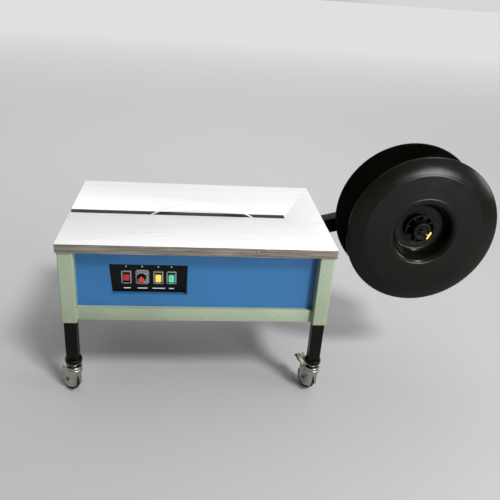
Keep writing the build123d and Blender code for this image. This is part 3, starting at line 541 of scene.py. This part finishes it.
POWER_X, DIAL_X, RESET_X, FEED_X = -230.5, -180.0, -129.0, -87.0
ROW_DROP, LABEL_DROP, SIGN_DROP = 131.5, 176.6, 91.5       # controls, labels and signs below the table
KNOB_DX, KNOB_DY = -2.5, 1.0                               # knob against the middle of its plate
frames, liners = bmesh.new(), bmesh.new()
for x in (POWER_X, RESET_X, FEED_X):
    add(frames, ring_frame(32, 50, 4.4, 5.0, 3.5, 1.2), on_plate(x, ROW_DROP))
    add(liners, ring_frame(24, 42, 2.4, 3.6, 1.0, 0.4), on_plate(x, ROW_DROP))
finish_piece("switch_frames", frames, "bezel_grey", stands_for=("switch_bezels",))
finish_piece("switch_liners", liners, "black_plastic")

for node in ("reset_button", "feed_button"):
    eased(node, 0.3, smooth=45)
eased("power_rocker", 0.3, smooth=45, look=rocker_red)
eased("dial_plate", 0.4, look=dial_look)
for node in ("length_knob", "knob_cap"):
    eased(node, 0.0, smooth=40)

marks = bmesh.new()
for x, length in ((-229.5, 22), (-180.5, 32), (-128.0, 41), (-87.0, 16)):
    add(marks, slab(-length / 2, length / 2, -1.6, 1.6, 0, 0.25, 0.1, 1), on_plate(x, LABEL_DROP))
for x in (POWER_X, DIAL_X, RESET_X, FEED_X):
    for wide, high in ((2.6, 0.7), (0.7, 2.6)):
        add(marks, slab(-wide, wide, -high, high, 0, 0.25, 0.1, 1), on_plate(x, SIGN_DROP))
KNOB_AT = on_plate(DIAL_X + KNOB_DX, ROW_DROP + KNOB_DY)
for i in range(11):
    tick = slab(-0.7, 0.7, 16.3, 19.0 if i % 5 else 20.2, 2.0, 2.3, 0.08, 1)
    add(marks, tick, KNOB_AT @ Matrix.Rotation(radians(150 - 30 * i), 4, "Z"))
finish_piece("printed_marks", marks, "strap_white", look=print_white)

ring = bmesh.new()
add(ring, turned([(3.6, 1.9, 0), (15.5, 1.9, 0), (15.5, 2.25, 0), (3.6, 2.25, 0)], 64), KNOB_AT)
finish_piece("dial_scale_ring", ring, "black_plastic")

pointer = bmesh.new()
add(pointer, slab(-0.6, 0.6, 5.0, 11.6, 15.2, 15.5, 0.1, 1), KNOB_AT)
finish_piece("knob_pointer", pointer, "strap_white", body="length_knob", look=print_white)


# ---- casters ------------------------------------------------------------------------
CASTER_YAW = {"front_left": 138.0, "front_right": 157.0, "rear_left": 141.0, "rear_right": 150.0}
WHEEL_R, TRAIL = 40.0, 26.0
eased("caster_stems", 0.4, smooth=40)


def caster_wheel():
    """Rubber wheel with dished sides and six ribs, turned about Z."""
    half = [(4.3, 13.0, 0), (10.5, 13.0, 1.0), (11.5, 9.4, 0.8), (26.0, 9.0, 0.8), (27.6, 13.0, 0.8),
            (35.5, 13.0, 2.4), (39.6, 8.6, 1.6)]
    outline = half + [(WHEEL_R, 0.0, 0)] + [(r, -z, size) for r, z, size in reversed(half)]
    bm = turned(outline, 72)
    for s in (-1, 1):
        for i in range(6):
            rib = slab(10.8, 27.0, -1.1, 1.1, min(s * 8.2, s * 11.6), max(s * 8.2, s * 11.6), 0.5)
            add(bm, rib, Matrix.Rotation(tau / 6 * i, 4, "Z"))
    return bm


for corner, yaw in CASTER_YAW.items():
    leg_lo, leg_hi = span("leg_" + corner)
    pivot = Matrix.Translation(((leg_lo.x + leg_hi.x) / 2, (leg_lo.y + leg_hi.y) / 2, 0))
    pivot = pivot @ Matrix.Rotation(radians(-yaw), 4, "Z")
    axle = pivot @ Matrix.Translation((0, -TRAIL, WHEEL_R)) @ Matrix.Rotation(pi / 2, 4, "Y")
    rolling = bmesh.new()
    add(rolling, caster_wheel(), axle)
    finish_piece("tyre_" + corner, rolling, "wheel_rubber", "wheel_" + corner, ("wheel_" + corner,))
    bush = bmesh.new()
    for turn in (pi, 0):
        sleeve = turned([(4.3, 0, 0), (7.5, 0, 0), (7.5, 13.6, 0.5), (4.3, 13.6, 0)], 32)
        add(bush, sleeve, axle @ Matrix.Rotation(turn, 4, "X"))
    finish_piece("bush_" + corner, bush, "zinc", "wheel_" + corner)
    eased("fork_" + corner, 0.7, smooth=40)
for corner in ("front_right", "rear_left"):
    eased("brake_pedal_" + corner, 0.6, smooth=40)


# ---- reel ---------------------------------------------------------------------------
front_lo, front_hi = span("front_flange")
REEL = Matrix.Translation(((front_lo.x + front_hi.x) / 2, 0, (front_lo.z + front_hi.z) / 2))
REEL_R = (front_hi.x - front_lo.x) / 2


def flange():
    """Dished flange turned about Z: face at zero, rim and cup going inwards."""
    outline = [(12.2, 58.0, 0), (60.0, 58.0, 0), (61.5, 57.0, 0.6), (78.0, 57.4, 0), (88.5, 55.5, 8.0),
               (99.0, 15.0, 12.0), (107.5, 2.0, 7.0), (119.0, 0.3, 3.0), (124.0, 0.3, 1.2),
               (127.0, 0.8, 1.0), (207.0, 0.6, 1.2), (214.0, 2.2, 2.0), (230.0, 5.2, 8.0),
               (247.0, 10.0, 8.0), (258.0, 14.0, 4.0),
               (REEL_R - 0.4, 17.4, 1.6), (REEL_R, 21.6, 0.6), (REEL_R - 2.4, 21.9, 0.6),
               (REEL_R - 3.6, 18.6, 1.0), (256.5, 16.4, 4.0), (246.0, 12.8, 8.0), (229.0, 8.1, 8.0),
               (213.0, 5.0, 2.0), (206.0, 3.5, 1.2), (118.0, 3.4, 6.0), (104.6, 9.0, 6.0),
               (91.6, 58.4, 8.0),
               (80.0, 61.0, 3.0), (12.2, 61.0, 0)]
    return turned(outline, 192)


rear_y = span("rear_flange")[1].y
for name, y, turn in (("front_flange", front_lo.y, -pi / 2), ("rear_flange", rear_y, pi / 2)):
    side = bmesh.new()
    add(side, flange(), REEL @ Matrix.Translation((0, y, 0)) @ Matrix.Rotation(turn, 4, "X"))
    finish_piece(name + "_moulding", side, "reel_black", "reel", (name,), smooth=28)
eased("reel_core", 0.0, smooth=40)

hub_lo, hub_hi = span("hub_wheel")
HUB_R, BOSS_R, SPOKES = (hub_hi.x - hub_lo.x) / 2, 34.0, 8
hub = turned([(12.2, 0, 0), (BOSS_R, 0, 0), (BOSS_R - 1.5, 40, 3.0), (BOSS_R - 5, 44, 1.5),
              (23, 44, 0.8), (22, 41.5, 0.8), (12.2, 41.5, 0)], 72)
add(hub, turned([(HUB_R - 5, 0, 0), (HUB_R, 0, 0), (HUB_R, 18, 1.6), (HUB_R - 5, 18, 1.6)], 96))
spokes = slab(BOSS_R - 3, HUB_R - 3, -3.4, 3.4, 0.2, 15.5, 1.2)
bmesh.ops.rotate(spokes, cent=(0, 0, 0), matrix=Matrix.Rotation(radians(-12), 3, "Z"),
                 verts=spokes.verts)
bmesh.ops.spin(spokes, geom=spokes.verts[:] + spokes.edges[:] + spokes.faces[:], cent=(0, 0, 0),
               axis=(0, 0, 1), angle=tau * (SPOKES - 1) / SPOKES, steps=SPOKES - 1, use_duplicate=True)
add(hub, spokes)
hub_piece = bmesh.new()
add(hub_piece, hub, REEL @ Matrix.Translation((0, hub_hi.y, 0)) @ Matrix.Rotation(pi / 2, 4, "X"))
finish_piece("hub_moulding", hub_piece, "black_plastic", "reel", ("hub_wheel",))

eased("reel_spindle", 0.4)
eased("retaining_pin", 0.5)
eased("pin_grip", 0.5, smooth=45)
eased("reel_arm", 0.9)


# ---- strap --------------------------------------------------------------------------
strap_lo, strap_hi = span("strap_loop")
STRAP_HALF, STRAP_W, STRAP_T = 166.0, 12.0, 1.0     # half the arch at table level, width, thickness
rise = strap_hi.z - TABLE_TOP
bend_r = (STRAP_HALF ** 2 + rise ** 2) / (2 * rise)
bend_z = strap_hi.z - bend_r
strap_x, strap_y = (strap_lo.x + strap_hi.x) / 2, (strap_lo.y + strap_hi.y) / 2
reach = asin(min(0.99, (strap_hi.x - strap_lo.x) / 2 / bend_r)) - 0.002
band = bmesh.new()
bmesh.ops.create_grid(band, x_segments=1, y_segments=6, size=0.5)
bmesh.ops.scale(band, vec=(STRAP_T, STRAP_W, 1), verts=band.verts)
bmesh.ops.rotate(band, cent=(0, 0, 0), matrix=Matrix.Rotation(pi / 2, 3, "Y"), verts=band.verts)
bmesh.ops.translate(band, vec=(0, 0, bend_r - STRAP_T / 2), verts=band.verts)
bmesh.ops.rotate(band, cent=(0, 0, 0), matrix=Matrix.Rotation(-reach, 3, "Y"), verts=band.verts)
bmesh.ops.spin(band, geom=band.verts[:] + band.edges[:] + band.faces[:], cent=(0, 0, 0),
               axis=(0, 1, 0), angle=2 * reach, steps=90)
bmesh.ops.translate(band, vec=(strap_x, strap_y, bend_z), verts=band.verts)
finish_piece("strap", band, "strap_white", stands_for=("strap_loop",), smooth=45)


# ---- studio -------------------------------------------------------------------------
floor_mat = Finish("studio_floor", Roughness=0.9, Specular_IOR_Level=0.1)
depth = floor_mat.tree.nodes.new("ShaderNodeSeparateXYZ")
floor_mat.join(floor_mat.place, depth.inputs["Vector"])
# painted light gradient: the floor's colour runs from darker near the camera to lighter far away,
# standing in for uneven studio light
painted_gradient_away = floor_mat.sum("MULTIPLY", floor_mat.sum("ADD", depth.outputs["Y"], 0.6), 0.085)
floor_mat.colour(floor_mat.ramp(painted_gradient_away, (0.0, 0.39), (1.0, 0.76)))
floor = bmesh.new()
bmesh.ops.create_grid(floor, x_segments=1, y_segments=1, size=45.0)
floor_mesh = bpy.data.meshes.new("studio_floor")
floor.to_mesh(floor_mesh)
floor.free()
floor_mesh.materials.append(floor_mat.mat)
floor_obj = bpy.data.objects.new("studio_floor", floor_mesh)
scene.collection.objects.link(floor_obj)

world = bpy.data.worlds.new("studio")
scene.world = world
world.use_nodes = True
background = world.node_tree.nodes["Background"]
background.inputs["Strength"].default_value = 0.5
sky = world.node_tree.nodes.new("ShaderNodeTexCoord")
across = world.node_tree.nodes.new("ShaderNodeSeparateXYZ")
room = world.node_tree.nodes.new("ShaderNodeValToRGB")
world.node_tree.links.new(sky.outputs["Generated"], across.inputs["Vector"])
world.node_tree.links.new(across.outputs["X"], room.inputs["Fac"])
world.node_tree.links.new(room.outputs["Color"], background.inputs["Color"])
for element, at, value in zip(room.color_ramp.elements, (0.0, 0.3), (0.5, 1.35)):
    element.position, element.color = at, (value, value, value * 1.02, 1)
scene.view_settings.view_transform = "Standard"


def softbox(name, place, aim, size, power):
    """Round soft lamp at a place in millimetres, turned to its aim."""
    data = bpy.data.lights.new(name, "AREA")
    data.shape, data.size, data.energy = "DISK", size, power
    light = bpy.data.objects.new(name, data)
    scene.collection.objects.link(light)
    light.location = TO_METRES @ Vector(place)
    toward = TO_METRES @ Vector(aim) - light.location
    light.rotation_euler = toward.to_track_quat("-Z", "Y").to_euler()


sun = bpy.data.lights.new("soft_daylight", "SUN")
sun.energy, sun.angle = 2.3, radians(12)
sun_obj = bpy.data.objects.new("soft_daylight", sun)
scene.collection.objects.link(sun_obj)
sun_obj.rotation_euler = Vector((-0.45, 0.60, -0.92)).to_track_quat("-Z", "Y").to_euler()
softbox("window_right", (2900, -1150, 1150), (500, 0, 500), 0.9, 20)
softbox("overhead", (100, 1100, 3300), (0, 200, 500), 4.4, 44)
softbox("bevel_light", (1740, -2460, 800), (766, -160, 583), 0.8, 40)

cam_data = bpy.data.cameras.new("camera")
cam_data.lens, cam_data.sensor_width = 41.84, 36.0
camera = bpy.data.objects.new("camera", cam_data)
scene.collection.objects.link(camera)
tip, roll, swing = radians(25.254), radians(4.293), radians(6.9125)
look = Matrix.Rotation(roll, 3, "Y") @ Matrix.Rotation(tip, 3, "X") @ Matrix.Rotation(swing, 3, "Z")
right, forward, up = look
facing = Matrix((right, up, -forward)).transposed().to_4x4()
stand = Vector((-41.18, -TABLE_D / 2 - 1628, TABLE_TOP + 768.8))
camera.matrix_world = Matrix.Translation(TO_METRES @ stand) @ facing
scene.camera = camera
